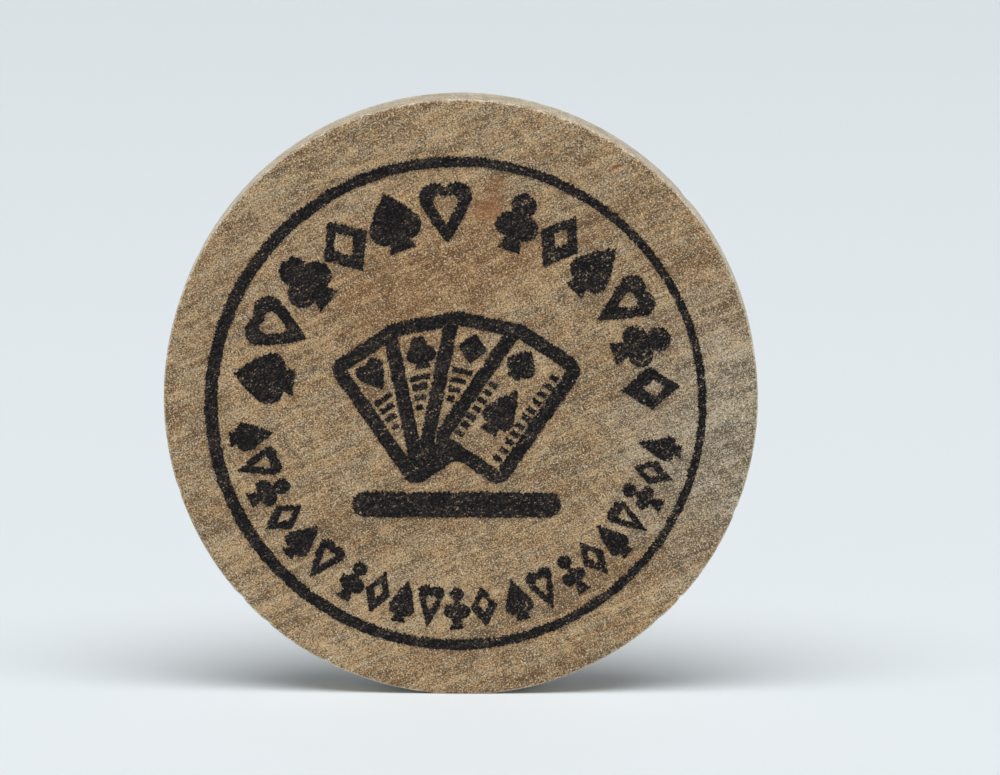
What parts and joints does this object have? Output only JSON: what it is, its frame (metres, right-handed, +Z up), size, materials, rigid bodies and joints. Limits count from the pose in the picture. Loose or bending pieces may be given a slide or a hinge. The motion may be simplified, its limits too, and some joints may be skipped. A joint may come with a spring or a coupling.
{
  "type": "wooden token",
  "caption": "Round solid wood token, flat on both faces with softly rounded edges, stamped on one face in black ink with a ring, card suits and a fan of playing cards.",
  "frame": {"origin": "middle of the small worn flat on the rim that the standing token rests on, at mid thickness", "axes": "+Z up through the middle of the standing disc, -Y out of the printed face, +X to the right of someone facing the print"},
  "size_m": [0.0381, 0.0032, 0.038],
  "materials": {
    "wood": "bare fine-grained maple, sanded, matt",
    "ink": "matt black stamping ink, slightly speckled"
  },
  "bodies": {
    "root": {"wooden_disc": "wood", "border_ring": "ink", "upper_suit_row": "ink", "lower_suit_row": "ink", "card_outlines": "ink", "card_pips": "ink", "card_shading": "ink", "ground_bar": "ink"}
  },
  "joints": []
}
